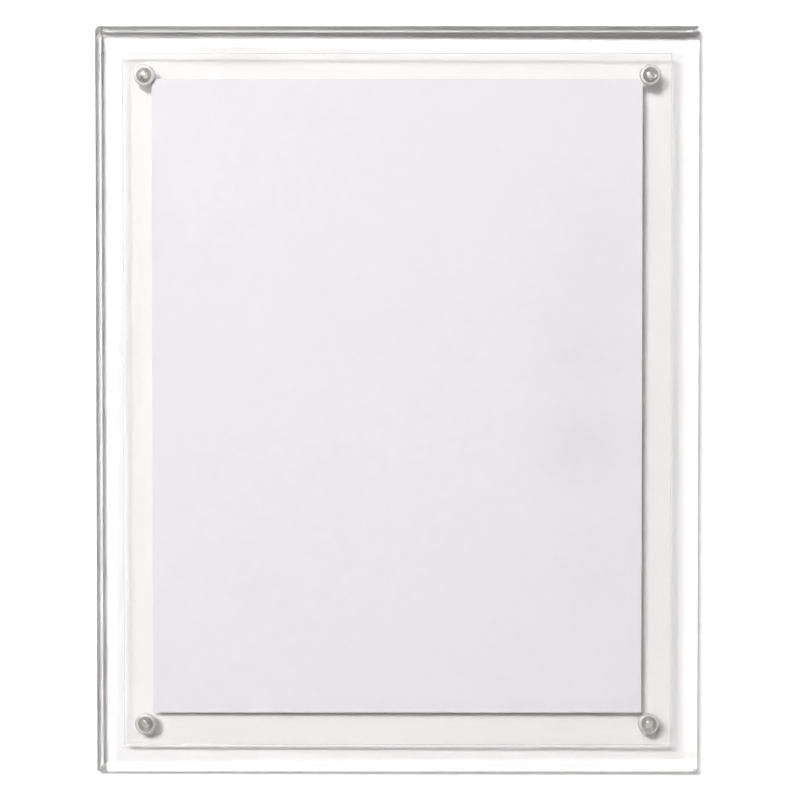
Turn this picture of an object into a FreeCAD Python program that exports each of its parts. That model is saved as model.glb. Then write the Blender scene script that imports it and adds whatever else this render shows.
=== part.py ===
import FreeCAD, Part
import math
import os

import Sketcher

# Clear certificate frame: a thick bevelled back plaque, a letter sheet laid on it, and a thin
# cover sheet over both, held at the paper's four corners by clear two-piece push rivets.
# The origin is the middle of the plaque's back face, +Z is up and the front faces -Y.
# Every depth in a profile is counted forwards from the back face.

SHEET_NAME = "Sizes"

# Driving sizes in millimetres. The outlines of the clear sheets follow the letter sheet's size.
DRIVING_SIZES = {
    # Letter sheet, a little above the middle as it lies in the frame
    "insert_width": "215.9",
    "insert_height": "279.4",
    "insert_thickness": "0.25",
    "insert_rise": "1.6",
    # Rivets: how far outside the letter sheet's corners they stand, and their holes
    "rivet_outset": "3.175",
    "rivet_hole_diameter": "5",
    "rivet_hole_clearance": "0.05",
    # Cover sheet: its edge beyond the rivets, which makes 9.5 by 12 inch, with eased front edges
    "cover_margin": "9.525",
    "cover_thickness": "2",
    "cover_edge_break": "0.25",
    # Back plaque: its edge beyond the cover, which makes 10.5 by 13 inch, and a 45 degree bevel
    # that takes half its thickness
    "plaque_margin": "12.7",
    "plaque_thickness": "6.35",
    "plaque_bevel": "3.175",
    # Rivet body: round flange with a seat for the pin's head, and a split shank
    "flange_diameter": "9.5",
    "flange_rim_height": "0.5",
    "flange_lip_height": "1.25",
    "head_seat_height": "0.7",
    "shank_tip_setback": "2.4",
    "shank_tip_taper": "0.4",
    "shank_tip_lead": "0.8",
    "leg_slit_width": "0.7",
    "leg_root_depth": "0.8",
    # Rivet pin: domed head, and a straight stem that fills the shank and ends in a blunt point
    "head_diameter": "6.5",
    "head_clearance": "0.1",
    "head_rim_height": "0.6",
    "head_crown_height": "1.8",
    "stem_diameter": "2.8",
    "stem_clearance": "0.08",
    "stem_tip_setback": "0.5",
    "stem_point_length": "1.1",
    "stem_point_diameter": "1.4",
    # Keyholes in the back, hidden by the letter sheet: one to hang the frame upright, one sideways
    "keyhole_entry_diameter": "9",
    "keyhole_neck_width": "4.6",
    "keyhole_travel": "12",
    "keyhole_lip": "1.6",
    "keyhole_depth": "4.7",
    "keyhole_top_margin": "34",
    "keyhole_side_margin": "34",
}


class Size:
    """A length that knows its value now and the formula that keeps it bound to the sheet."""

    def __init__(self, value, text):
        self.value = value
        self.text = text

    def __add__(self, other):
        return Size(self.value + other.value, f"({self.text} + {other.text})")

    def __sub__(self, other):
        return Size(self.value - other.value, f"({self.text} - {other.text})")

    def __mul__(self, count):
        return Size(self.value * count, f"({self.text} * {count})")

    def __truediv__(self, count):
        return Size(self.value / count, f"({self.text} / {count})")

    def __neg__(self):
        return self * -1

    def __eq__(self, other):
        return isinstance(other, Size) and self.text == other.text


ZERO = Size(0.0, "0")


def make_sheet(doc):
    """Write the driving sizes into the document's sheet and return them by name."""
    sheet = doc.addObject("Spreadsheet::Sheet", SHEET_NAME)
    sizes = {}
    for row, (alias, value) in enumerate(DRIVING_SIZES.items(), start=1):
        sheet.set(f"A{row}", alias)
        sheet.set(f"B{row}", value)
        sheet.setAlias(f"B{row}", alias)
        sizes[alias] = Size(float(value), f"{SHEET_NAME}.{alias}")
    doc.recompute()
    add_layout(sizes)
    return sizes


def add_layout(sizes):
    """Add the sizes that follow: rivet spacing from the letter sheet, and both outlines from it."""
    for along in ("width", "height"):
        spacing = sizes[f"insert_{along}"] + sizes["rivet_outset"] * 2
        cover = spacing + sizes["cover_margin"] * 2
        sizes[f"rivet_spacing_{along}"] = spacing
        sizes[f"cover_{along}"] = cover
        sizes[f"plaque_{along}"] = cover + sizes["plaque_margin"] * 2
    levels = {
        "insert_front": sizes["plaque_thickness"] + sizes["insert_thickness"],
    }
    levels["cover_front"] = levels["insert_front"] + sizes["cover_thickness"]
    levels["head_seat"] = levels["cover_front"] + sizes["head_seat_height"]
    sizes.update(levels)


def place(item, x=ZERO, y=ZERO, z=ZERO, rotation=None):
    """Set a sub-part's placement, its base bound to the sheet."""
    base = FreeCAD.Vector(x.value, y.value, z.value)
    item.Placement = FreeCAD.Placement(base, rotation or FreeCAD.Rotation())
    for axis, size in zip("xyz", (x, y, z)):
        if size != ZERO:
            item.setExpression(f"Placement.Base.{axis}", size.text)


def new_body(doc, label):
    """Start a sub-part of its own."""
    body = doc.addObject("PartDesign::Body", label)
    body.Label = label
    return body


def origin_plane(body, role):
    """Return one of the body's own origin planes."""
    return next(item for item in body.Origin.OriginFeatures if item.Role == role)


def new_sketch(body, name, role="XZ_Plane", offset=None):
    """Attach an empty sketch to an origin plane of its own body."""
    sketch = body.newObject("Sketcher::SketchObject", name)
    sketch.AttachmentSupport = [(origin_plane(body, role), "")]
    sketch.MapMode = "FlatFace"
    if offset is not None:
        sketch.AttachmentOffset = offset
    return sketch


def constrain(sketch, kind, *where, size=None, name=None):
    """Add a constraint, and bind it to the sheet when it carries a size."""
    if size is None:
        sketch.addConstraint(Sketcher.Constraint(kind, *where))
        return
    index = sketch.addConstraint(Sketcher.Constraint(kind, *where, size.value))
    sketch.renameConstraint(index, name)
    sketch.setExpression(f"Constraints.{name}", size.text)


def flat(x, y):
    """Return a point of a sketch's own plane."""
    return FreeCAD.Vector(x, y, 0)


def circle(x, y, radius):
    """Return a full circle in a sketch's own plane."""
    return Part.Circle(flat(x, y), FreeCAD.Vector(0, 0, 1), radius)


def draw_rectangle(sketch, width, height):
    """Draw a rectangle centred on the sketch's origin."""
    x = width.value / 2
    y = height.value / 2
    corners = [flat(-x, -y), flat(x, -y), flat(x, y), flat(-x, y)]
    sides = range(len(corners))
    for side in sides:
        end = corners[(side + 1) % len(corners)]
        sketch.addGeometry(Part.LineSegment(corners[side], end), False)
    for side in sides:
        constrain(sketch, "Coincident", side, 2, (side + 1) % len(corners), 1)
        constrain(sketch, "Vertical" if side % 2 else "Horizontal", side)
    constrain(sketch, "Symmetric", 0, 1, 2, 1, -1, 1)
    constrain(sketch, "DistanceX", 0, 1, 0, 2, size=width, name="width")
    constrain(sketch, "DistanceY", 1, 1, 1, 2, size=height, name="height")


def draw_rivet_holes(sketch, sizes):
    """Draw the four rivet holes, mirrored about both axes of the sketch."""
    x = sizes["rivet_spacing_width"].value / 2
    y = sizes["rivet_spacing_height"].value / 2
    radius = sizes["rivet_hole_diameter"] / 2
    holes = [
        sketch.addGeometry(circle(side * x, level * y, radius.value), False)
        for side, level in ((1, 1), (-1, 1), (1, -1), (-1, -1))
    ]
    right_top, left_top, right_bottom, left_bottom = holes
    constrain(sketch, "Radius", right_top, size=radius, name="hole_radius")
    for hole in holes[1:]:
        constrain(sketch, "Equal", right_top, hole)
    constrain(sketch, "Symmetric", right_top, 3, left_bottom, 3, -1, 1)
    constrain(sketch, "Symmetric", right_top, 3, left_top, 3, -2)
    constrain(sketch, "Symmetric", right_top, 3, right_bottom, 3, -1)
    width = sizes["rivet_spacing_width"]
    constrain(sketch, "DistanceX", left_top, 3, right_top, 3, size=width, name="across")
    height = sizes["rivet_spacing_height"]
    constrain(sketch, "DistanceY", right_bottom, 3, right_top, 3, size=height, name="up")


def draw_profile(sketch, corners, crowns=()):
    """Draw a closed outline of (radius, depth) corners, anticlockwise.

    A side numbered in crowns is an arc that lies level where it ends.
    """
    count = len(corners)
    for side in range(count):
        start = corners[side]
        end = corners[(side + 1) % count]
        if side in crowns:
            run = start[0].value - end[0].value
            rise = end[1].value - start[1].value
            radius = (run**2 + rise**2) / (2 * rise)
            arc = circle(end[0].value, end[1].value - radius, radius)
            from_angle = math.atan2(radius - rise, run)
            sketch.addGeometry(Part.ArcOfCircle(arc, from_angle, math.pi / 2), False)
        else:
            line = Part.LineSegment(
                flat(start[0].value, start[1].value), flat(end[0].value, end[1].value)
            )
            sketch.addGeometry(line, False)
    for side in range(count):
        constrain(sketch, "Coincident", side, 2, (side + 1) % count, 1)
    for side, (radius, depth) in enumerate(corners):
        if radius == ZERO:
            constrain(sketch, "PointOnObject", side, 1, -2)
        else:
            constrain(sketch, "DistanceX", -1, 1, side, 1, size=radius, name=f"radius_{side}")
        constrain(sketch, "DistanceY", -1, 1, side, 1, size=depth, name=f"depth_{side}")
    for side in crowns:
        constrain(sketch, "Vertical", side, 3, side, 2)


def draw_slot(sketch, wide, narrow, travel):
    """Draw a slot that runs up from the origin, from a wide round end to a narrow one.

    Ends of one size make a plain slot, and a smaller upper one makes a keyhole.
    """
    plain = wide == narrow
    lean = math.asin(narrow.value / wide.value)
    foot = wide.value * math.cos(lean)
    top = travel.value
    side = narrow.value
    from_angle = math.pi / 2 + lean
    to_angle = math.pi / 2 - lean + 2 * math.pi
    sketch.addGeometry(Part.ArcOfCircle(circle(0, 0, wide.value), from_angle, to_angle), False)
    sketch.addGeometry(Part.LineSegment(flat(side, foot), flat(side, top)), False)
    sketch.addGeometry(Part.ArcOfCircle(circle(0, top, side), 0, math.pi), False)
    sketch.addGeometry(Part.LineSegment(flat(-side, top), flat(-side, foot)), False)
    constrain(sketch, "Tangent" if plain else "Coincident", 0, 2, 1, 1)
    constrain(sketch, "Tangent", 1, 2, 2, 1)
    constrain(sketch, "Tangent", 2, 2, 3, 1)
    constrain(sketch, "Tangent" if plain else "Coincident", 3, 2, 0, 1)
    if not plain:
        constrain(sketch, "Vertical", 1)
        constrain(sketch, "Vertical", 3)
    constrain(sketch, "Coincident", 0, 3, -1, 1)
    constrain(sketch, "PointOnObject", 2, 3, -2)
    constrain(sketch, "Radius", 0, size=wide, name="wide_radius")
    constrain(sketch, "Radius", 2, size=narrow, name="narrow_radius")
    constrain(sketch, "DistanceY", 0, 3, 2, 3, size=travel, name="travel")


def pad(body, sketch, name, length):
    """Thicken a sketch forwards from its plane."""
    feature = body.newObject("PartDesign::Pad", name)
    feature.Profile = sketch
    feature.setExpression("Length", length.text)
    body.Document.recompute()
    return feature


def pocket(body, sketch, name, length=None):
    """Cut a sketch forwards from its plane, to a depth or right through."""
    before = body.Shape.Volume
    feature = body.newObject("PartDesign::Pocket", name)
    feature.Profile = sketch
    feature.Reversed = True
    if length is None:
        feature.Type = "ThroughAll"
    else:
        feature.setExpression("Length", length.text)
    body.Document.recompute()
    if body.Shape.Volume >= before:
        raise RuntimeError(f"{name} cuts nothing")
    return feature


def ease_front(body, base, name, sizes, sheet, cut):
    """Bevel the four outer edges of a clear sheet's front face at 45 degrees."""
    width = sizes[f"{sheet}_width"]
    height = sizes[f"{sheet}_height"]
    depth = sizes[f"{sheet}_thickness"]
    edges = []
    for index, edge in enumerate(base.Shape.Edges, start=1):
        ends = [vertex.Point for vertex in edge.Vertexes]
        on_front = all(math.isclose(point.y, -depth.value, rel_tol=1e-6) for point in ends)
        on_side = all(math.isclose(abs(point.x), width.value / 2, rel_tol=1e-6) for point in ends)
        on_end = all(math.isclose(abs(point.z), height.value / 2, rel_tol=1e-6) for point in ends)
        if on_front and (on_side or on_end):
            edges.append(f"Edge{index}")
    bevel = body.newObject("PartDesign::Chamfer", name)
    bevel.Base = (base, edges)
    bevel.setExpression("Size", cut.text)
    body.Document.recompute()
    return bevel


def cut_keyhole(body, sizes, name, x=ZERO, z=ZERO, turn=0.0):
    """Rout a keyhole into the back: a screw's head enters the wide end and hides behind the lip."""
    wide = sizes["keyhole_entry_diameter"] / 2
    neck = sizes["keyhole_neck_width"] / 2
    travel = sizes["keyhole_travel"]
    lip = sizes["keyhole_lip"]
    steps = (
        ("mouth", neck, ZERO, lip),
        ("undercut", wide, lip, sizes["keyhole_depth"] - lip),
    )
    for step, narrow, start, depth in steps:
        spot = FreeCAD.Vector(x.value, z.value, start.value)
        rotation = FreeCAD.Rotation(FreeCAD.Vector(0, 0, 1), turn)
        offset = FreeCAD.Placement(spot, rotation)
        sketch = new_sketch(body, f"{name}_{step}_outline", offset=offset)
        for axis, size in zip("xyz", (x, z, start)):
            if size != ZERO:
                sketch.setExpression(f"AttachmentOffset.Base.{axis}", size.text)
        draw_slot(sketch, wide, narrow, travel)
        pocket(body, sketch, f"{name}_{step}", depth)


def make_back_plaque(doc, sizes):
    """Thick slab with a bevelled front, four rivet holes and two keyholes in its back."""
    body = new_body(doc, "back_plaque")
    outline = new_sketch(body, "plaque_outline")
    draw_rectangle(outline, sizes["plaque_width"], sizes["plaque_height"])
    slab = pad(body, outline, "slab", sizes["plaque_thickness"])
    ease_front(body, slab, "front_bevel", sizes, "plaque", sizes["plaque_bevel"])
    holes = new_sketch(body, "plaque_hole_centres")
    draw_rivet_holes(holes, sizes)
    pocket(body, holes, "plaque_rivet_holes")
    insert_top = sizes["insert_height"] / 2 + sizes["insert_rise"]
    insert_side = sizes["insert_width"] / 2
    upright = insert_top - sizes["keyhole_top_margin"]
    sideways = insert_side - sizes["keyhole_side_margin"]
    cut_keyhole(body, sizes, "upright_keyhole", z=upright)
    cut_keyhole(body, sizes, "sideways_keyhole", x=sideways, turn=-90.0)
    place(body)
    return body


def make_insert_sheet(doc, sizes):
    """Letter sheet laid on the plaque's front face."""
    sheet = doc.addObject("Part::Box", "insert_sheet")
    sheet.Label = "insert_sheet"
    sheet.setExpression("Length", sizes["insert_width"].text)
    sheet.setExpression("Width", sizes["insert_thickness"].text)
    sheet.setExpression("Height", sizes["insert_height"].text)
    place(
        sheet,
        x=-sizes["insert_width"] / 2,
        y=-sizes["insert_front"],
        z=sizes["insert_rise"] - sizes["insert_height"] / 2,
    )
    return sheet


def make_cover_sheet(doc, sizes):
    """Thin sheet over the letter sheet, with the same four holes as the plaque."""
    body = new_body(doc, "cover_sheet")
    outline = new_sketch(body, "cover_outline")
    draw_rectangle(outline, sizes["cover_width"], sizes["cover_height"])
    pane = pad(body, outline, "pane", sizes["cover_thickness"])
    ease_front(body, pane, "eased_edges", sizes, "cover", sizes["cover_edge_break"])
    holes = new_sketch(body, "cover_hole_centres")
    draw_rivet_holes(holes, sizes)
    pocket(body, holes, "cover_rivet_holes")
    place(body, y=-sizes["insert_front"])
    return body


def revolve(body, sketch, name):
    """Turn a profile a full circle about the piece's axis."""
    feature = body.newObject("PartDesign::Revolution", name)
    feature.Profile = sketch
    feature.ReferenceAxis = (sketch, ["V_Axis"])
    feature.Angle = 360
    body.Document.recompute()
    return feature


def place_rivet_piece(body, sizes, side, level):
    """Stand a turned piece in its hole, its axis towards the front."""
    forwards = FreeCAD.Rotation(FreeCAD.Vector(1, 0, 0), 90)
    x = sizes["rivet_spacing_width"] / 2 * side
    z = sizes["rivet_spacing_height"] / 2 * level
    place(body, x=x, z=z, rotation=forwards)


def make_rivet_body(doc, sizes, corner, side, level):
    """Flanged body: a sloped flange with a seat, and a hollow shank split into four legs."""
    bore = sizes["stem_diameter"] / 2 + sizes["stem_clearance"]
    shank = sizes["rivet_hole_diameter"] / 2 - sizes["rivet_hole_clearance"]
    flange = sizes["flange_diameter"] / 2
    seat = sizes["head_diameter"] / 2 + sizes["head_clearance"]
    root = sizes["cover_front"]
    rim = root + sizes["flange_rim_height"]
    lip = root + sizes["flange_lip_height"]
    tip = sizes["shank_tip_setback"]
    corners = [
        (bore, tip),
        (shank - sizes["shank_tip_taper"], tip),
        (shank, tip + sizes["shank_tip_lead"]),
        (shank, root),
        (flange, root),
        (flange, rim),
        (seat, lip),
        (seat, sizes["head_seat"]),
        (bore, sizes["head_seat"]),
    ]
    body = new_body(doc, f"rivet_body_{corner}")
    profile = new_sketch(body, f"rivet_body_profile_{corner}")
    draw_profile(profile, corners)
    revolve(body, profile, f"rivet_body_turned_{corner}")
    cut_leg_slits(body, sizes, corner, shank)
    place_rivet_piece(body, sizes, side, level)
    return body


def cut_leg_slits(body, sizes, corner, shank):
    """Split the shank crosswise into four legs, from its tip to just inside the plaque."""
    root = sizes["plaque_thickness"] - sizes["leg_root_depth"]
    width = sizes["leg_slit_width"]
    before = body.Shape.Volume
    outline = new_sketch(body, f"slit_outline_{corner}", role="XY_Plane")
    draw_rectangle(outline, shank * 4, width)
    slit = body.newObject("PartDesign::Pocket", f"slit_{corner}")
    slit.Profile = outline
    slit.Reversed = True
    slit.setExpression("Length", root.text)
    body.Document.recompute()
    legs = body.newObject("PartDesign::PolarPattern", f"legs_{corner}")
    legs.Originals = [slit]
    legs.Axis = (outline, ["N_Axis"])
    legs.Angle = 180
    legs.Occurrences = 2
    body.Tip = legs
    body.Document.recompute()
    if body.Shape.Volume >= before:
        raise RuntimeError("the shank isn't split")


def make_rivet_pin(doc, sizes, corner, side, level):
    """Domed pin: its stem fills the split shank and its head sits in the flange."""
    stem = sizes["stem_diameter"] / 2
    head = sizes["head_diameter"] / 2
    point = sizes["stem_point_diameter"] / 2
    tip = sizes["shank_tip_setback"] + sizes["stem_tip_setback"]
    seat = sizes["head_seat"]
    corners = [
        (ZERO, tip),
        (point, tip),
        (stem, tip + sizes["stem_point_length"]),
        (stem, seat),
        (head, seat),
        (head, seat + sizes["head_rim_height"]),
        (ZERO, seat + sizes["head_crown_height"]),
    ]
    body = new_body(doc, f"rivet_pin_{corner}")
    profile = new_sketch(body, f"rivet_pin_profile_{corner}")
    draw_profile(profile, corners, crowns=(5,))
    revolve(body, profile, f"rivet_pin_turned_{corner}")
    place_rivet_piece(body, sizes, side, level)
    return body


RIVET_CORNERS = {
    "top_left": (-1, 1),
    "top_right": (1, 1),
    "bottom_left": (-1, -1),
    "bottom_right": (1, -1),
}


def check_objects(doc, parts):
    """Stop if any object failed or any sub-part isn't one valid solid."""
    for item in doc.Objects:
        if "Invalid" in item.State or "Error" in item.State:
            raise RuntimeError(f"{item.Name} failed: {item.State}")
    for part in parts:
        shape = part.Shape
        if shape.isNull() or not shape.isValid() or len(shape.Solids) != 1:
            raise RuntimeError(f"{part.Label} isn't one valid solid")


def main():
    """Build every sub-part and write it to its own file."""
    doc = FreeCAD.newDocument("certificate_frame")
    sizes = make_sheet(doc)
    parts = [
        make_back_plaque(doc, sizes),
        make_insert_sheet(doc, sizes),
        make_cover_sheet(doc, sizes),
    ]
    for corner, (side, level) in RIVET_CORNERS.items():
        parts.append(make_rivet_body(doc, sizes, corner, side, level))
        parts.append(make_rivet_pin(doc, sizes, corner, side, level))
    doc.recompute()
    check_objects(doc, parts)
    os.makedirs("parts", exist_ok=True)
    for part in parts:
        part.Shape.exportStep(f"parts/{part.Label}.step")
        print(f"{part.Label}: {part.Shape.Volume:.3f} cubic millimetres")


main()
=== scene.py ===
import logging
import math
from collections.abc import Callable, Iterable
from dataclasses import dataclass
from enum import Enum

import bmesh
import bpy
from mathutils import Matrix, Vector


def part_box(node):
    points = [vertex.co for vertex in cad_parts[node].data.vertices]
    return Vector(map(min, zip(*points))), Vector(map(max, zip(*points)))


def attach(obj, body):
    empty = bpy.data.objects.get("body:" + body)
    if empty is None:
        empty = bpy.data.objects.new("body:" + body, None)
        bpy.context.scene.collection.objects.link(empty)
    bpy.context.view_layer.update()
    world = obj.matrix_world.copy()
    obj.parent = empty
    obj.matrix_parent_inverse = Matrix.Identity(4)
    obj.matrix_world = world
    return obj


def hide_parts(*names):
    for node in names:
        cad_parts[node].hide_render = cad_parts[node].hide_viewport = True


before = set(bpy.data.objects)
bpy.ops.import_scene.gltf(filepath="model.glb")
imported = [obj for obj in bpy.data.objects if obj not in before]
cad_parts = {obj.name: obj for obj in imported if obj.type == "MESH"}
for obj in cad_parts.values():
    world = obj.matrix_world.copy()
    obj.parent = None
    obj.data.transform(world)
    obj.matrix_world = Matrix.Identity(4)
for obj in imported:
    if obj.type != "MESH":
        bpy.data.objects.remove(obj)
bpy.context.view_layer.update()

MM = 0.001
# Closer than this, in metres, two points are one
HAIR = 1e-6
# A ray's flag or count above this is set
SOME = 0.5
LOG = logging.getLogger("certificate_frame")


# Hand tools


def put_all_down() -> None:
    """Deselect every object."""
    bpy.ops.object.select_all(action="DESELECT")


def hold(piece: bpy.types.Object) -> None:
    """Make one object the only selected and active one.

    Args:
        piece: The object to work on.
    """
    put_all_down()
    piece.select_set(True)
    bpy.context.view_layer.objects.active = piece


def settle(name: str) -> bpy.types.Object:
    """Name the primitive that was just added and move its place into its mesh.

    Args:
        name: The piece's name.

    Returns:
        The object, at the origin, unturned and unscaled.
    """
    piece = bpy.context.object
    piece.name = name
    piece.data.name = name
    hold(piece)
    bpy.ops.object.transform_apply(location=True, rotation=True, scale=True)
    return piece


class Editing:
    """Edit mode on one object, with nothing selected when it starts."""

    def __init__(self, piece: bpy.types.Object) -> None:
        """Remember the object to edit."""
        self.piece = piece

    def __enter__(self) -> "Editing":
        """Enter edit mode."""
        hold(self.piece)
        bpy.ops.object.mode_set(mode="EDIT")
        bpy.ops.mesh.select_all(action="DESELECT")
        return self

    def __exit__(self, *trouble: object) -> None:
        """Leave edit mode."""
        bpy.ops.object.mode_set(mode="OBJECT")

    def pick_edges(self, wanted: Callable[[Vector, Vector], bool]) -> None:
        """Select the edges whose two ends pass a test, and nothing else.

        Args:
            wanted: Says of an edge's two ends whether it is picked.
        """
        bpy.ops.mesh.select_mode(type="EDGE")
        bpy.ops.mesh.select_all(action="DESELECT")
        mesh = bmesh.from_edit_mesh(self.piece.data)
        for edge in mesh.edges:
            if wanted(edge.verts[0].co, edge.verts[1].co):
                edge.select_set(True)
        mesh.select_flush_mode()
        bmesh.update_edit_mesh(self.piece.data)

    def pick_points(self, wanted: Callable[[Vector], bool]) -> None:
        """Select the vertices that pass a test, and nothing else.

        Args:
            wanted: Says of a vertex's place whether it is picked.
        """
        bpy.ops.mesh.select_mode(type="VERT")
        bpy.ops.mesh.select_all(action="DESELECT")
        mesh = bmesh.from_edit_mesh(self.piece.data)
        for point in mesh.verts:
            if wanted(point.co):
                point.select_set(True)
        mesh.select_flush_mode()
        bmesh.update_edit_mesh(self.piece.data)

    def turn_faces_out(self) -> None:
        """Merge doubled vertices and point every face outwards."""
        bpy.ops.mesh.select_mode(type="VERT")
        bpy.ops.mesh.select_all(action="SELECT")
        bpy.ops.mesh.remove_doubles(threshold=HAIR)
        bpy.ops.mesh.normals_make_consistent(inside=False)


def saw_block(name: str, low: Vector, high: Vector) -> bpy.types.Object:
    """Cut a block from one corner to the other.

    Args:
        name: The piece's name.
        low: Its lowest corner, in metres.
        high: Its highest corner, in metres.

    Returns:
        The block.
    """
    put_all_down()
    bpy.ops.mesh.primitive_cube_add(size=1.0, location=(low + high) / 2, scale=high - low)
    return settle(name)


def turn_on_lathe(name: str, profile: Iterable[tuple[float, float]], steps: int) -> bpy.types.Object:
    """Turn a closed solid about the Y axis from its half section.

    Args:
        name: The piece's name.
        profile: Radius and height, in millimetres, of each corner in order. Height runs towards -Y.
            A section that doesn't end on the axis is closed back to its first corner.
        steps: How many sides the circle has.

    Returns:
        The turned piece, with its axis through the origin.
    """
    corners = [Vector((radius * MM, -height * MM, 0.0)) for radius, height in profile]
    if corners[0].x > 0 or corners[-1].x > 0:
        corners.append(corners[0])
    put_all_down()
    bpy.ops.mesh.primitive_plane_add(size=MM)
    piece = settle(name)
    with Editing(piece) as hand:
        bpy.ops.mesh.select_all(action="SELECT")
        bpy.ops.mesh.merge(type="CENTER")
        bpy.ops.transform.translate(value=corners[0])
        for start, end in zip(corners, corners[1:]):
            bpy.ops.mesh.extrude_vertices_move(TRANSFORM_OT_translate={"value": end - start})
        bpy.ops.mesh.select_all(action="SELECT")
        bpy.ops.mesh.spin(steps=steps, angle=math.tau, center=(0, 0, 0), axis=(0, 1, 0))
        hand.turn_faces_out()
    return piece


def cut_away(piece: bpy.types.Object, cutter: bpy.types.Object) -> None:
    """Cut one object out of another and throw the cutter away.

    Args:
        piece: The object that is cut.
        cutter: The object that takes material away.
    """
    hold(piece)
    bpy.ops.object.modifier_add(type="BOOLEAN")
    cut = piece.modifiers[-1]
    cut.operation = "DIFFERENCE"
    cut.solver = "EXACT"
    cut.object = cutter
    bpy.ops.object.modifier_apply(modifier=cut.name)
    spare = cutter.data
    bpy.data.objects.remove(cutter)
    bpy.data.meshes.remove(spare)


def break_edges(piece: bpy.types.Object, width: float) -> None:
    """Round off every sharp edge a little, as polishing does.

    Args:
        piece: The object to finish.
        width: How far the rounding reaches from the edge, in millimetres.
    """
    sharp_degrees, facets = 35, 2
    hold(piece)
    bpy.ops.object.modifier_add(type="BEVEL")
    rounding = piece.modifiers[-1]
    rounding.limit_method = "ANGLE"
    rounding.angle_limit = math.radians(sharp_degrees)
    rounding.width = width * MM
    rounding.segments = facets
    rounding.use_clamp_overlap = False
    bpy.ops.object.modifier_apply(modifier=rounding.name)


def drill(name: str, x: float, z: float, radius: float, shallow: float, deep: float) -> bpy.types.Object:
    """Make a round cutter that stands along Y.

    Args:
        name: The cutter's name.
        x: Its axis, in metres.
        z: Its axis, in metres.
        radius: Its radius, in millimetres.
        shallow: Where it starts along Y, in metres.
        deep: Where it ends along Y, in metres.

    Returns:
        The cutter.
    """
    sides = 64
    put_all_down()
    bpy.ops.mesh.primitive_cylinder_add(
        vertices=sides,
        radius=radius * MM,
        depth=abs(deep - shallow),
        location=(x, (shallow + deep) / 2, z),
        rotation=(math.pi / 2, 0, 0),
    )
    return settle(name)


def slot_cutter(
    name: str, start: Vector, travel: Vector, radius: float, shallow: float, deep: float
) -> bpy.types.Object:
    """Make a cutter shaped like a slot with round ends.

    Args:
        name: The cutter's name.
        start: The middle of its first round end, in metres.
        travel: How far and which way its second end lies, in metres.
        radius: Half its width, in millimetres.
        shallow: Where it starts along Y, in metres.
        deep: Where it ends along Y, in metres.

    Returns:
        The cutter.
    """
    sides = 48
    put_all_down()
    bpy.ops.mesh.primitive_circle_add(
        vertices=sides,
        radius=radius * MM,
        fill_type="NGON",
        location=(0, 0, 0),
    )
    bpy.ops.transform.rotate(value=math.pi / sides, orient_axis="Z", center_override=(0, 0, 0))
    piece = settle(name)
    bpy.ops.transform.rotate(value=math.pi / 2, orient_axis="X", center_override=(0, 0, 0))
    bpy.ops.transform.translate(value=(start.x, shallow, start.z))
    bpy.ops.object.transform_apply(location=True, rotation=True, scale=True)
    with Editing(piece) as hand:
        hand.pick_points(lambda place: (place - start).dot(travel) > 0)
        bpy.ops.transform.translate(value=travel)
        bpy.ops.mesh.select_mode(type="FACE")
        bpy.ops.mesh.select_all(action="SELECT")
        bpy.ops.mesh.extrude_region_move(TRANSFORM_OT_translate={"value": (0, deep - shallow, 0)})
        hand.turn_faces_out()
    return piece


# Finishes


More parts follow.
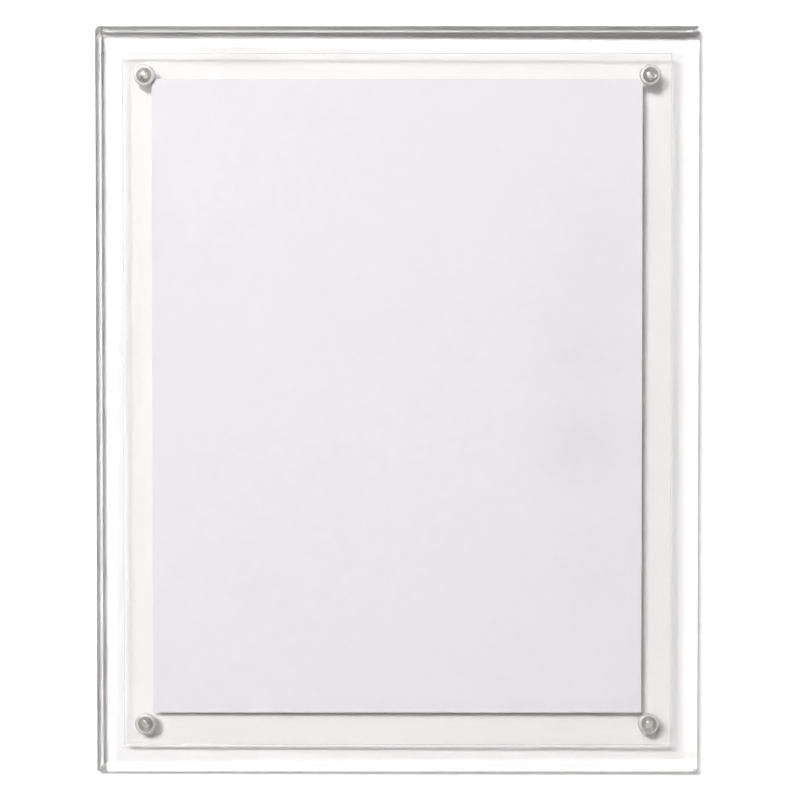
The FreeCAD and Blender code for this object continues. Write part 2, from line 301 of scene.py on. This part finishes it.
class NodeBench:
    """Lays out the nodes of one material or world."""

    def __init__(self, tree: bpy.types.NodeTree) -> None:
        """Start from an empty node tree."""
        self.tree = tree
        tree.nodes.clear()

    def add(self, kind: str, **settings: object) -> bpy.types.Node:
        """Add a node.

        Args:
            kind: The node's type, without ShaderNode.
            settings: Its properties.

        Returns:
            The node.
        """
        node = self.tree.nodes.new("ShaderNode" + kind)
        for name, value in settings.items():
            setattr(node, name, value)
        return node

    def join(self, source: bpy.types.NodeSocket, target: bpy.types.NodeSocket) -> None:
        """Link an output to an input."""
        self.tree.links.new(source, target)

    def feed(self, target: bpy.types.NodeSocket, value: object) -> None:
        """Link an output to an input, or set the input to a value.

        Args:
            target: The input.
            value: An output socket, or the value itself.
        """
        if isinstance(value, bpy.types.NodeSocket):
            self.join(value, target)
        else:
            target.default_value = value

    def maths(self, operation: str, *values: object) -> bpy.types.NodeSocket:
        """Add a Math node.

        Args:
            operation: What it does.
            values: Its inputs, sockets or numbers.

        Returns:
            Its output.
        """
        node = self.add("Math", operation=operation)
        for target, value in zip(node.inputs, values):
            self.feed(target, value)
        return node.outputs[0]

    def spread(
        self, value: object, low: float, high: float, to_low: float, to_high: float
    ) -> bpy.types.NodeSocket:
        """Map a range onto another.

        Args:
            value: The input, a socket or a number.
            low: The input's low end.
            high: The input's high end.
            to_low: What the low end becomes.
            to_high: What the high end becomes.

        Returns:
            The mapped value.
        """
        node = self.add("MapRange")
        for name, number in (
            ("Value", value),
            ("From Min", low),
            ("From Max", high),
            ("To Min", to_low),
            ("To Max", to_high),
        ):
            self.feed(node.inputs[name], number)
        return node.outputs["Result"]

    def noise(self, place: bpy.types.NodeSocket, scale: float, detail: float = 2.0) -> bpy.types.NodeSocket:
        """Add a noise texture.

        Args:
            place: The coordinates that it reads.
            scale: Its scale, per metre.
            detail: How many octaves it has.

        Returns:
            Its value, about 0 to 1.
        """
        node = self.add("TexNoise")
        node.inputs["Scale"].default_value = scale
        node.inputs["Detail"].default_value = detail
        self.join(place, node.inputs["Vector"])
        return node.outputs["Fac"]

    def stretched(self, place: bpy.types.NodeSocket, x: float, y: float, z: float) -> bpy.types.NodeSocket:
        """Scale coordinates.

        Args:
            place: The coordinates.
            x: Factor along X.
            y: Factor along Y.
            z: Factor along Z.

        Returns:
            The scaled coordinates.
        """
        node = self.add("Mapping")
        node.inputs["Scale"].default_value = (x, y, z)
        self.join(place, node.inputs["Vector"])
        return node.outputs["Vector"]

    def bump(
        self, height: bpy.types.NodeSocket, depth: float, strength: float = 1.0
    ) -> bpy.types.NodeSocket:
        """Add a bump.

        Args:
            height: The surface's height, 0 to 1.
            depth: What height 1 stands for, in metres.
            strength: How strong the bump is.

        Returns:
            The normal.
        """
        node = self.add("Bump")
        node.inputs["Strength"].default_value = strength
        node.inputs["Distance"].default_value = depth
        self.join(height, node.inputs["Height"])
        return node.outputs["Normal"]


def new_material(
    name: str,
) -> tuple[bpy.types.Material, NodeBench, bpy.types.Node, bpy.types.NodeSocket]:
    """Start a material with one Principled shader.

    Args:
        name: The material's name.

    Returns:
        The material, its bench, the shader and the object's coordinates.
    """
    material = bpy.data.materials.new(name)
    material.use_nodes = True
    bench = NodeBench(material.node_tree)
    shader = bench.add("BsdfPrincipled")
    output = bench.add("OutputMaterial")
    bench.join(shader.outputs["BSDF"], output.inputs["Surface"])
    place = bench.add("TexCoord").outputs["Object"]
    return material, bench, shader, place


@dataclass(frozen=True)
class PolishedAcrylic:
    """Clear cast sheet: glassy faces with a trace of wiping marks."""

    name: str = "polished_acrylic"
    tint: tuple[float, float, float] = (0.995, 0.99, 0.99)
    ior: float = 1.49
    smear: float = 0.012
    wipe_scale: float = 180.0
    wipe_stretch: float = 0.08

    def material(self) -> bpy.types.Material:
        """Build the material.

        Returns:
            The material.
        """
        material, bench, shader, place = new_material(self.name)
        shader.inputs["Base Color"].default_value = (*self.tint, 1)
        shader.inputs["Transmission Weight"].default_value = 1.0
        shader.inputs["IOR"].default_value = self.ior
        wipes = bench.noise(bench.stretched(place, 1.0, 1.0, self.wipe_stretch), self.wipe_scale, 3.0)
        bench.join(bench.spread(wipes, 0.45, 0.8, 0.0, self.smear), shader.inputs["Roughness"])
        return material


@dataclass(frozen=True)
class PolishedEdge:
    """The bevelled or sawn edges of a clear sheet, a little uneven and a trace milky."""

    name: str = "polished_bevel"
    clearness: float = 0.97
    tint: tuple[float, float, float] = (0.985, 0.975, 0.97)
    ior: float = 1.49
    roughness: float = 0.02
    ripple: float = 4e-6
    ripple_scale: float = 120.0

    def material(self) -> bpy.types.Material:
        """Build the material.

        Returns:
            The material.
        """
        material, bench, shader, place = new_material(self.name)
        shader.inputs["Base Color"].default_value = (*self.tint, 1)
        shader.inputs["Transmission Weight"].default_value = self.clearness
        shader.inputs["IOR"].default_value = self.ior
        shader.inputs["Roughness"].default_value = self.roughness
        waves = bench.noise(place, self.ripple_scale)
        bench.join(bench.bump(waves, self.ripple), shader.inputs["Normal"])
        return material


@dataclass(frozen=True)
class MouldedClear:
    """Clear moulded plastic of the rivets, softer than the sheets and a little cloudy."""

    name: str = "moulded_clear"
    tint: tuple[float, float, float] = (0.985, 0.965, 0.95)
    ior: float = 1.58
    clearness: float = 0.66
    smoothest: float = 0.1
    roughest: float = 0.16
    flow_scale: float = 900.0
    flow_depth: float = 1.0e-5

    def material(self) -> bpy.types.Material:
        """Build the material.

        Returns:
            The material.
        """
        material, bench, shader, place = new_material(self.name)
        shader.inputs["Base Color"].default_value = (*self.tint, 1)
        shader.inputs["Transmission Weight"].default_value = self.clearness
        shader.inputs["IOR"].default_value = self.ior
        flow = bench.noise(place, self.flow_scale)
        bench.join(bench.spread(flow, 0.3, 0.7, self.smoothest, self.roughest), shader.inputs["Roughness"])
        bench.join(bench.bump(flow, self.flow_depth), shader.inputs["Normal"])
        return material


@dataclass(frozen=True)
class LetterPaper:
    """Plain white sheet with the grain of card."""

    name: str = "letter_paper"
    light: tuple[float, float, float] = (0.818, 0.795, 0.822)
    shade: tuple[float, float, float] = (0.803, 0.78, 0.807)
    roughness: float = 0.9
    shine: float = 0.2
    mottle_scale: float = 260.0
    fibre_scale: float = 4200.0
    fibre_stretch: float = 0.4
    fibre_depth: float = 1.5e-5

    def material(self) -> bpy.types.Material:
        """Build the material.

        Returns:
            The material.
        """
        material, bench, shader, place = new_material(self.name)
        shader.inputs["Roughness"].default_value = self.roughness
        shader.inputs["Specular IOR Level"].default_value = self.shine
        mottle = bench.noise(place, self.mottle_scale, 4.0)
        mix = bench.add("Mix", data_type="RGBA")
        bench.join(bench.spread(mottle, 0.35, 0.65, 0.0, 1.0), mix.inputs["Factor"])
        mix.inputs["A"].default_value = (*self.light, 1)
        mix.inputs["B"].default_value = (*self.shade, 1)
        bench.join(mix.outputs["Result"], shader.inputs["Base Color"])
        fibres = bench.noise(bench.stretched(place, 1.0, 1.0, self.fibre_stretch), self.fibre_scale, 3.0)
        bench.join(bench.bump(fibres, self.fibre_depth, 0.5), shader.inputs["Normal"])
        return material


# Pieces of the frame


class Corner(Enum):
    """The four corners where a rivet stands, with the signs of X and Z."""

    TOP_LEFT = (-1, 1)
    TOP_RIGHT = (1, 1)
    BOTTOM_LEFT = (-1, -1)
    BOTTOM_RIGHT = (1, -1)

    @property
    def label(self) -> str:
        """The corner's name in the names of nodes."""
        return self.name.lower()


@dataclass
class RivetPlaces:
    """Where the rivets stand, in millimetres."""

    spacing_x: float = 222.25
    spacing_z: float = 285.75
    hole_radius: float = 2.5

    def axis(self, corner: Corner) -> tuple[float, float]:
        """The axis of one corner's rivet.

        Args:
            corner: The corner.

        Returns:
            Its X and Z, in metres.
        """
        side, level = corner.value
        return side * self.spacing_x / 2 * MM, level * self.spacing_z / 2 * MM

    def bore(self, sheet: bpy.types.Object, low: Vector, high: Vector) -> None:
        """Drill a sheet's four holes.

        Args:
            sheet: The sheet.
            low: Its lowest corner.
            high: Its highest corner.
        """
        for corner in Corner:
            x, z = self.axis(corner)
            cut_away(sheet, drill("rivet_drill", x, z, self.hole_radius, high.y + MM, low.y - MM))


@dataclass(frozen=True)
class SheetFinishes:
    """The three finishes of a clear sheet, told apart by how far a face looks forwards or back."""

    face: bpy.types.Material
    bevel: bpy.types.Material
    sawn: bpy.types.Material
    flat: float = 0.999
    square: float = 0.1

    def dress(self, sheet: bpy.types.Object) -> None:
        """Finish a sheet's broad faces, its slopes, and its square edges and holes.

        Args:
            sheet: The sheet.
        """
        sheet.data.materials.clear()
        for finish in (self.face, self.bevel, self.sawn):
            sheet.data.materials.append(finish)
        for side in sheet.data.polygons:
            lean = abs(side.normal.y)
            side.material_index = 0 if lean > self.flat else 1 if lean > self.square else 2


@dataclass
class BackPlaque:
    """Thick bevelled sheet with the rivets' holes and two keyholes in its back."""

    rivets: RivetPlaces
    bevel: float = 3.175
    polish: float = 0.12
    keyhole_radius: float = 4.5
    neck_radius: float = 2.3
    travel: float = 12.0
    lip: float = 1.6
    overlap: float = 0.5
    depth: float = 4.7
    upright_z: float = 107.3
    sideways_x: float = 73.95

    def keyhole(self, slab: bpy.types.Object, start: Vector, travel: Vector) -> None:
        """Rout one keyhole: its entry, its neck and the undercut behind the lip.

        Args:
            slab: The plaque.
            start: The middle of the entry.
            travel: The way to the slot's end.
        """
        cut_away(slab, drill("entry", start.x, start.z, self.keyhole_radius, MM, -self.depth * MM))
        lip, floor = -self.lip * MM, -self.depth * MM
        neck_end = lip - self.overlap * MM
        cut_away(slab, slot_cutter("neck", start, travel, self.neck_radius, MM, neck_end))
        cut_away(slab, slot_cutter("undercut", start, travel, self.keyhole_radius, lip, floor))

    def build(self, finishes: SheetFinishes) -> bpy.types.Object:
        """Model the plaque.

        Args:
            finishes: The clear sheets' finishes.

        Returns:
            The plaque.
        """
        low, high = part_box("back_plaque")
        slab = saw_block("plaque_slab", low, high)
        with Editing(slab) as hand:
            hand.pick_edges(lambda a, b: abs(a.y - low.y) < HAIR and abs(b.y - low.y) < HAIR)
            bpy.ops.mesh.bevel(offset=self.bevel * MM, offset_type="OFFSET", segments=1)
        self.rivets.bore(slab, low, high)
        self.keyhole(slab, Vector((0, 0, self.upright_z * MM)), Vector((0, 0, self.travel * MM)))
        self.keyhole(slab, Vector((self.sideways_x * MM, 0, 0)), Vector((self.travel * MM, 0, 0)))
        break_edges(slab, self.polish)
        finishes.dress(slab)
        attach(slab, "plaque")
        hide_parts("back_plaque")
        return slab


@dataclass
class CoverSheet:
    """Thinner clear sheet in front of the paper."""

    rivets: RivetPlaces
    polish: float = 0.1

    def build(self, finishes: SheetFinishes) -> bpy.types.Object:
        """Model the cover.

        Args:
            finishes: The clear sheets' finishes.

        Returns:
            The cover.
        """
        low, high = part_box("cover_sheet")
        sheet = saw_block("cover_pane", low, high)
        self.rivets.bore(sheet, low, high)
        break_edges(sheet, self.polish)
        finishes.dress(sheet)
        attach(sheet, "cover")
        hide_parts("cover_sheet")
        return sheet


@dataclass
class LetterInsert:
    """White letter sheet between the two clear ones."""

    air: float = 0.02
    corner: float = 0.04

    def build(self, finish: bpy.types.Material) -> bpy.types.Object:
        """Model the sheet, with a hair of air before and behind it.

        Args:
            finish: The paper's finish.

        Returns:
            The sheet.
        """
        low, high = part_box("insert_sheet")
        gap = Vector((0, self.air * MM, 0))
        sheet = saw_block("letter_insert", low + gap, high - gap)
        break_edges(sheet, self.corner)
        sheet.data.materials.append(finish)
        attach(sheet, "insert")
        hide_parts("insert_sheet")
        return sheet


@dataclass
class PushRivet:
    """Two-piece clear push rivet: a flanged body with a split shank, and a domed pin."""

    rivets: RivetPlaces
    cover_front: float = 8.6
    air: float = 0.02
    steps: int = 96
    flange_radius: float = 4.75
    flange_rim: float = 0.5
    flange_break: float = 0.12
    flange_drop: float = 0.1
    flange_steps: int = 8
    lip: float = 1.25
    lip_width: float = 0.28
    lip_break: float = 0.08
    seat_radius: float = 3.35
    seat: float = 0.7
    bore_radius: float = 1.48
    shank_radius: float = 2.45
    tip: float = 2.4
    taper: float = 0.4
    lead: float = 0.8
    slit: float = 0.7
    slit_root: float = 5.55
    head_radius: float = 3.25
    head_rim: float = 0.6
    head_break: float = 0.1
    crown: float = 1.8
    crown_curve: float = 9.0
    crown_steps: int = 16
    smooth_degrees: float = 28.0
    stem_radius: float = 1.4
    stem_tip: float = 2.9
    stem_point: float = 1.1
    stem_point_radius: float = 0.7

    def body_profile(self) -> list[tuple[float, float]]:
        """The half section of the body, from its tip round to its bore.

        Returns:
            Radius and height of each corner, in millimetres.
        """
        root = self.cover_front + self.air
        top = self.cover_front + self.lip
        corners = [
            (self.bore_radius, self.tip),
            (self.shank_radius - self.taper, self.tip),
            (self.shank_radius, self.tip + self.lead),
            (self.shank_radius, root),
            (self.flange_radius - self.flange_break, root),
            (self.flange_radius, root + self.flange_break),
        ]
        # The flange's top rises from its rim to the lip in a quarter of an ellipse
        rise_from = self.cover_front + self.flange_rim - self.flange_drop
        lip_radius = self.seat_radius + self.lip_width
        for step in range(self.flange_steps + 1):
            turn = math.pi / 2 * step / self.flange_steps
            radius = lip_radius + (self.flange_radius - lip_radius) * math.cos(turn)
            height = rise_from + (top - rise_from) * math.sin(turn)
            corners.append((radius, height))
        corners += [
            (self.seat_radius + self.lip_break, top),
            (self.seat_radius, top - self.lip_break),
            (self.seat_radius, self.cover_front + self.seat),
            (self.bore_radius, self.cover_front + self.seat),
        ]
        return corners

    def pin_profile(self) -> list[tuple[float, float]]:
        """The half section of the pin, from its point round its head to the middle of the dome.

        Returns:
            Radius and height of each corner, in millimetres.
        """
        seat = self.cover_front + self.seat + self.air
        rim = self.cover_front + self.seat + self.head_rim
        top = self.cover_front + self.seat + self.crown
        corners = [
            (0.0, self.stem_tip),
            (self.stem_point_radius, self.stem_tip),
            (self.stem_radius, self.stem_tip + self.stem_point),
            (self.stem_radius, seat),
            (self.head_radius - self.head_break, seat),
            (self.head_radius, seat + self.head_break),
        ]
        # The crown is nearly round in the middle and falls off faster towards its rim
        middle = self.head_radius**2 / (2 * self.crown_curve)
        shoulder = top - rim - middle
        for step in range(self.crown_steps + 1):
            share = 1 - step / self.crown_steps
            height = top - middle * share**2 - shoulder * share**4
            corners.append((self.head_radius * share, height))
        return corners

    def split_legs(self, body: bpy.types.Object) -> None:
        """Saw the shank crosswise into four legs.

        Args:
            body: The rivet's body, with its axis through the origin.
        """
        half, reach = self.slit / 2 * MM, self.flange_radius * MM
        deep = -self.slit_root * MM
        cut_away(body, saw_block("slit_saw", Vector((-half, deep, -reach)), Vector((half, 0, reach))))
        cut_away(body, saw_block("slit_saw", Vector((-reach, deep, -half)), Vector((reach, 0, half))))

    def place_copies(
        self, model: bpy.types.Object, name: str, cad: str, rider: str
    ) -> list[bpy.types.Object]:
        """Copy a turned piece to the four corners, each with its own mesh.

        Args:
            model: The piece, with its axis through the origin.
            name: What each copy's name starts with.
            cad: What each replaced node's name starts with.
            rider: What each body's name starts with.

        Returns:
            The four copies.
        """
        made = []
        for corner in Corner:
            x, z = self.rivets.axis(corner)
            hold(model)
            bpy.ops.object.duplicate(linked=False)
            copy = bpy.context.object
            copy.location = (x, 0, z)
            copy = settle(f"{name}_{corner.label}")
            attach(copy, f"{rider}_{corner.label}")
            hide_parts(f"{cad}_{corner.label}")
            made.append(copy)
        spare = model.data
        bpy.data.objects.remove(model)
        bpy.data.meshes.remove(spare)
        return made

    def build(
        self, body_finish: bpy.types.Material, pin_finish: bpy.types.Material
    ) -> list[bpy.types.Object]:
        """Model one rivet and set it at the four corners.

        Args:
            body_finish: The finish of the flanged bodies.
            pin_finish: The finish of the domed pins.

        Returns:
            The eight pieces.
        """
        body = turn_on_lathe("rivet_body_model", self.body_profile(), self.steps)
        self.split_legs(body)
        pin = turn_on_lathe("rivet_pin_model", self.pin_profile(), self.steps)
        for part, finish in ((body, body_finish), (pin, pin_finish)):
            hold(part)
            bpy.ops.object.shade_smooth_by_angle(angle=math.radians(self.smooth_degrees))
            part.data.materials.append(finish)
        bodies = self.place_copies(body, "rivet_flange", "rivet_body", "rivet")
        pins = self.place_copies(pin, "rivet_dome", "rivet_pin", "pin")
        return bodies + pins


# Studio


@dataclass
class StudioWall:
    """White surface that the frame hangs a little away from, open to a camera behind it."""

    gap: float = 3.0
    lean_x: float = 8.2
    lean_z: float = 1.2
    size: float = 4.0
    white: float = 0.92
    lift_seen: float = 0.3
    lift_through: float = 0.02

    def matt_white(self, bench: NodeBench, path: bpy.types.Node) -> bpy.types.NodeSocket:
        """Make the white, which a camera sees a little brighter than the lamp lights it.

        Args:
            bench: The wall's bench.
            path: Its Light Path node.

        Returns:
            The shader.
        """
        matt = bench.add("BsdfDiffuse")
        matt.inputs["Color"].default_value = (self.white, self.white, self.white, 1)
        rays = path.outputs
        seen = bench.maths("MULTIPLY", rays["Is Camera Ray"], self.lift_seen)
        through = bench.maths("MAXIMUM", rays["Is Transmission Ray"], rays["Is Glossy Ray"])
        lift = bench.add("Emission")
        level = bench.maths("MULTIPLY_ADD", through, self.lift_through, seen)
        bench.join(level, lift.inputs["Strength"])
        white = bench.add("AddShader")
        bench.join(matt.outputs[0], white.inputs[0])
        bench.join(lift.outputs[0], white.inputs[1])
        return white.outputs[0]

    def material(self) -> bpy.types.Material:
        """Build the finish: white from the front, and clear to a ray that starts behind the wall.

        Returns:
            The material.
        """
        material = bpy.data.materials.new("studio_white")
        material.use_nodes = True
        bench = NodeBench(material.node_tree)
        path = bench.add("LightPath")
        behind = bench.add("NewGeometry").outputs["Backfacing"]
        passed = bench.maths("GREATER_THAN", path.outputs["Transparent Depth"], SOME)
        mix = bench.add("MixShader")
        bench.join(bench.maths("MAXIMUM", behind, passed), mix.inputs[0])
        bench.join(self.matt_white(bench, path), mix.inputs[1])
        bench.join(bench.add("BsdfTransparent").outputs[0], mix.inputs[2])
        output = bench.add("OutputMaterial")
        bench.join(mix.outputs[0], output.inputs["Surface"])
        return material

    def build(self) -> bpy.types.Object:
        """Make the wall.

        Returns:
            The wall.
        """
        put_all_down()
        bpy.ops.mesh.primitive_plane_add(
            size=self.size, location=(0, self.gap * MM, 0), rotation=(math.pi / 2, 0, 0)
        )
        wall = settle("studio_wall")
        # The gap grows towards the right and the top, in millimetres a metre
        for point in wall.data.vertices:
            point.co.y += (self.lean_x * point.co.x + self.lean_z * point.co.z) * MM
        wall.data.materials.append(self.material())
        return wall


@dataclass
class Softbox:
    """A broad lamp up and to the left of the camera."""

    place: tuple[float, float, float] = (-0.62, -2.2, 0.76)
    width: float = 0.8
    height: float = 0.42
    power: float = 62.5

    def build(self) -> bpy.types.Object:
        """Hang the lamp and aim it at the frame.

        Returns:
            The lamp.
        """
        bpy.ops.object.light_add(type="AREA", location=self.place)
        lamp = bpy.context.object
        lamp.name = "softbox"
        lamp.rotation_euler = (-Vector(self.place)).to_track_quat("-Z", "Y").to_euler()
        lamp.data.shape = "RECTANGLE"
        lamp.data.size = self.width
        lamp.data.size_y = self.height
        lamp.data.energy = self.power
        return lamp


@dataclass
class StudioDome:
    """Dim warm room round the frame, which shows as white behind it and through its clear parts."""

    fill: float = 0.08
    through: float = 0.7
    behind: float = 0.85
    warmth: tuple[float, float, float] = (1.0, 0.955, 0.92)

    def build(self) -> bpy.types.World:
        """Make the world.

        Returns:
            The world.
        """
        world = bpy.data.worlds.new("studio_dome")
        bpy.context.scene.world = world
        world.use_nodes = True
        bench = NodeBench(world.node_tree)
        path = bench.add("LightPath")
        first = bench.maths("LESS_THAN", path.outputs["Diffuse Depth"], SOME)
        clear = bench.maths("MULTIPLY", first, path.outputs["Is Transmission Ray"])
        level = bench.spread(clear, 0.0, 1.0, self.fill, self.through)
        # A camera behind the wall sees the frame's back in a light of its own
        round_back = bench.maths("GREATER_THAN", path.outputs["Transparent Depth"], SOME)
        level = bench.maths("MAXIMUM", level, bench.maths("MULTIPLY", round_back, self.behind))
        seen = path.outputs["Is Camera Ray"]
        colour = bench.add("Mix", data_type="RGBA")
        bench.join(bench.maths("MAXIMUM", seen, round_back), colour.inputs["Factor"])
        colour.inputs["A"].default_value = (*self.warmth, 1)
        colour.inputs["B"].default_value = (1, 1, 1, 1)
        background = bench.add("Background")
        bench.join(colour.outputs["Result"], background.inputs["Color"])
        bench.join(bench.maths("MAXIMUM", level, seen), background.inputs["Strength"])
        output = bench.add("OutputWorld")
        bench.join(background.outputs[0], output.inputs["Surface"])
        return world


@dataclass
class StudioCamera:
    """Camera square to the frame, a metre away, as far off the middle as the photograph's."""

    distance: float = 1.0
    azimuth: float = 0.08
    elevation: float = 1.35
    focal_pixels: float = 2251.3
    picture: float = 800.0
    shift_x: float = 2.83
    shift_z: float = 0.05
    sensor: float = 36.0
    nearest: float = 0.01
    farthest: float = 20.0

    def build(self) -> bpy.types.Object:
        """Make the camera and set it as the scene's.

        Returns:
            The camera.
        """
        turn, rise = math.radians(self.azimuth), math.radians(self.elevation)
        back = Vector(
            (math.sin(turn) * math.cos(rise), -math.cos(turn) * math.cos(rise), math.sin(rise))
        )
        lens = bpy.data.cameras.new("studio_camera")
        camera = bpy.data.objects.new("studio_camera", lens)
        bpy.context.scene.collection.objects.link(camera)
        camera.location = back * self.distance
        camera.rotation_euler = (-back).to_track_quat("-Z", "Y").to_euler()
        lens.sensor_width = self.sensor
        lens.lens = self.focal_pixels / self.picture * lens.sensor_width
        lens.shift_x = self.shift_x / self.picture
        lens.shift_y = self.shift_z / self.picture
        lens.clip_start = self.nearest
        lens.clip_end = self.farthest
        bpy.context.scene.camera = camera
        return camera


@dataclass(frozen=True)
class LightPaths:
    """How far light is followed, far enough for an edge that mirrors itself many times."""

    bounces: int = 64
    mirrored: int = 56
    refracted: int = 16

    def apply(self, scene: bpy.types.Scene) -> None:
        """Set the limits, and guide light through the clear sheets to the wall.

        Args:
            scene: The scene.
        """
        scene.cycles.blur_glossy = 0.0
        scene.cycles.use_guiding = True
        scene.cycles.max_bounces = self.bounces
        scene.cycles.glossy_bounces = self.mirrored
        scene.cycles.transmission_bounces = self.refracted


def report(pieces: Iterable[bpy.types.Object]) -> None:
    """Log each finished piece with its size.

    Args:
        pieces: The pieces.
    """
    for piece in pieces:
        size = " x ".join(f"{length / MM:.1f}" for length in piece.dimensions)
        LOG.info("%s: %s mm, %d faces", piece.name, size, len(piece.data.polygons))


def main() -> None:
    """Build the frame, its wall, its light and the camera."""
    logging.basicConfig(level=logging.INFO, format="%(name)s: %(message)s")
    scene = bpy.context.scene
    scene.view_settings.view_transform = "Standard"
    LightPaths().apply(scene)
    StudioCamera().build()
    sheets = SheetFinishes(
        face=PolishedAcrylic().material(),
        bevel=PolishedEdge().material(),
        sawn=PolishedEdge("sawn_edge", clearness=0.86).material(),
    )
    places = RivetPlaces()
    report([BackPlaque(places).build(sheets)])
    report([LetterInsert().build(LetterPaper().material())])
    report([CoverSheet(places).build(sheets)])
    crown = MouldedClear("clear_crown", clearness=0.9).material()
    report(PushRivet(places).build(MouldedClear().material(), crown))
    StudioWall().build()
    Softbox().build()
    StudioDome().build()


if __name__ == "__main__":
    main()
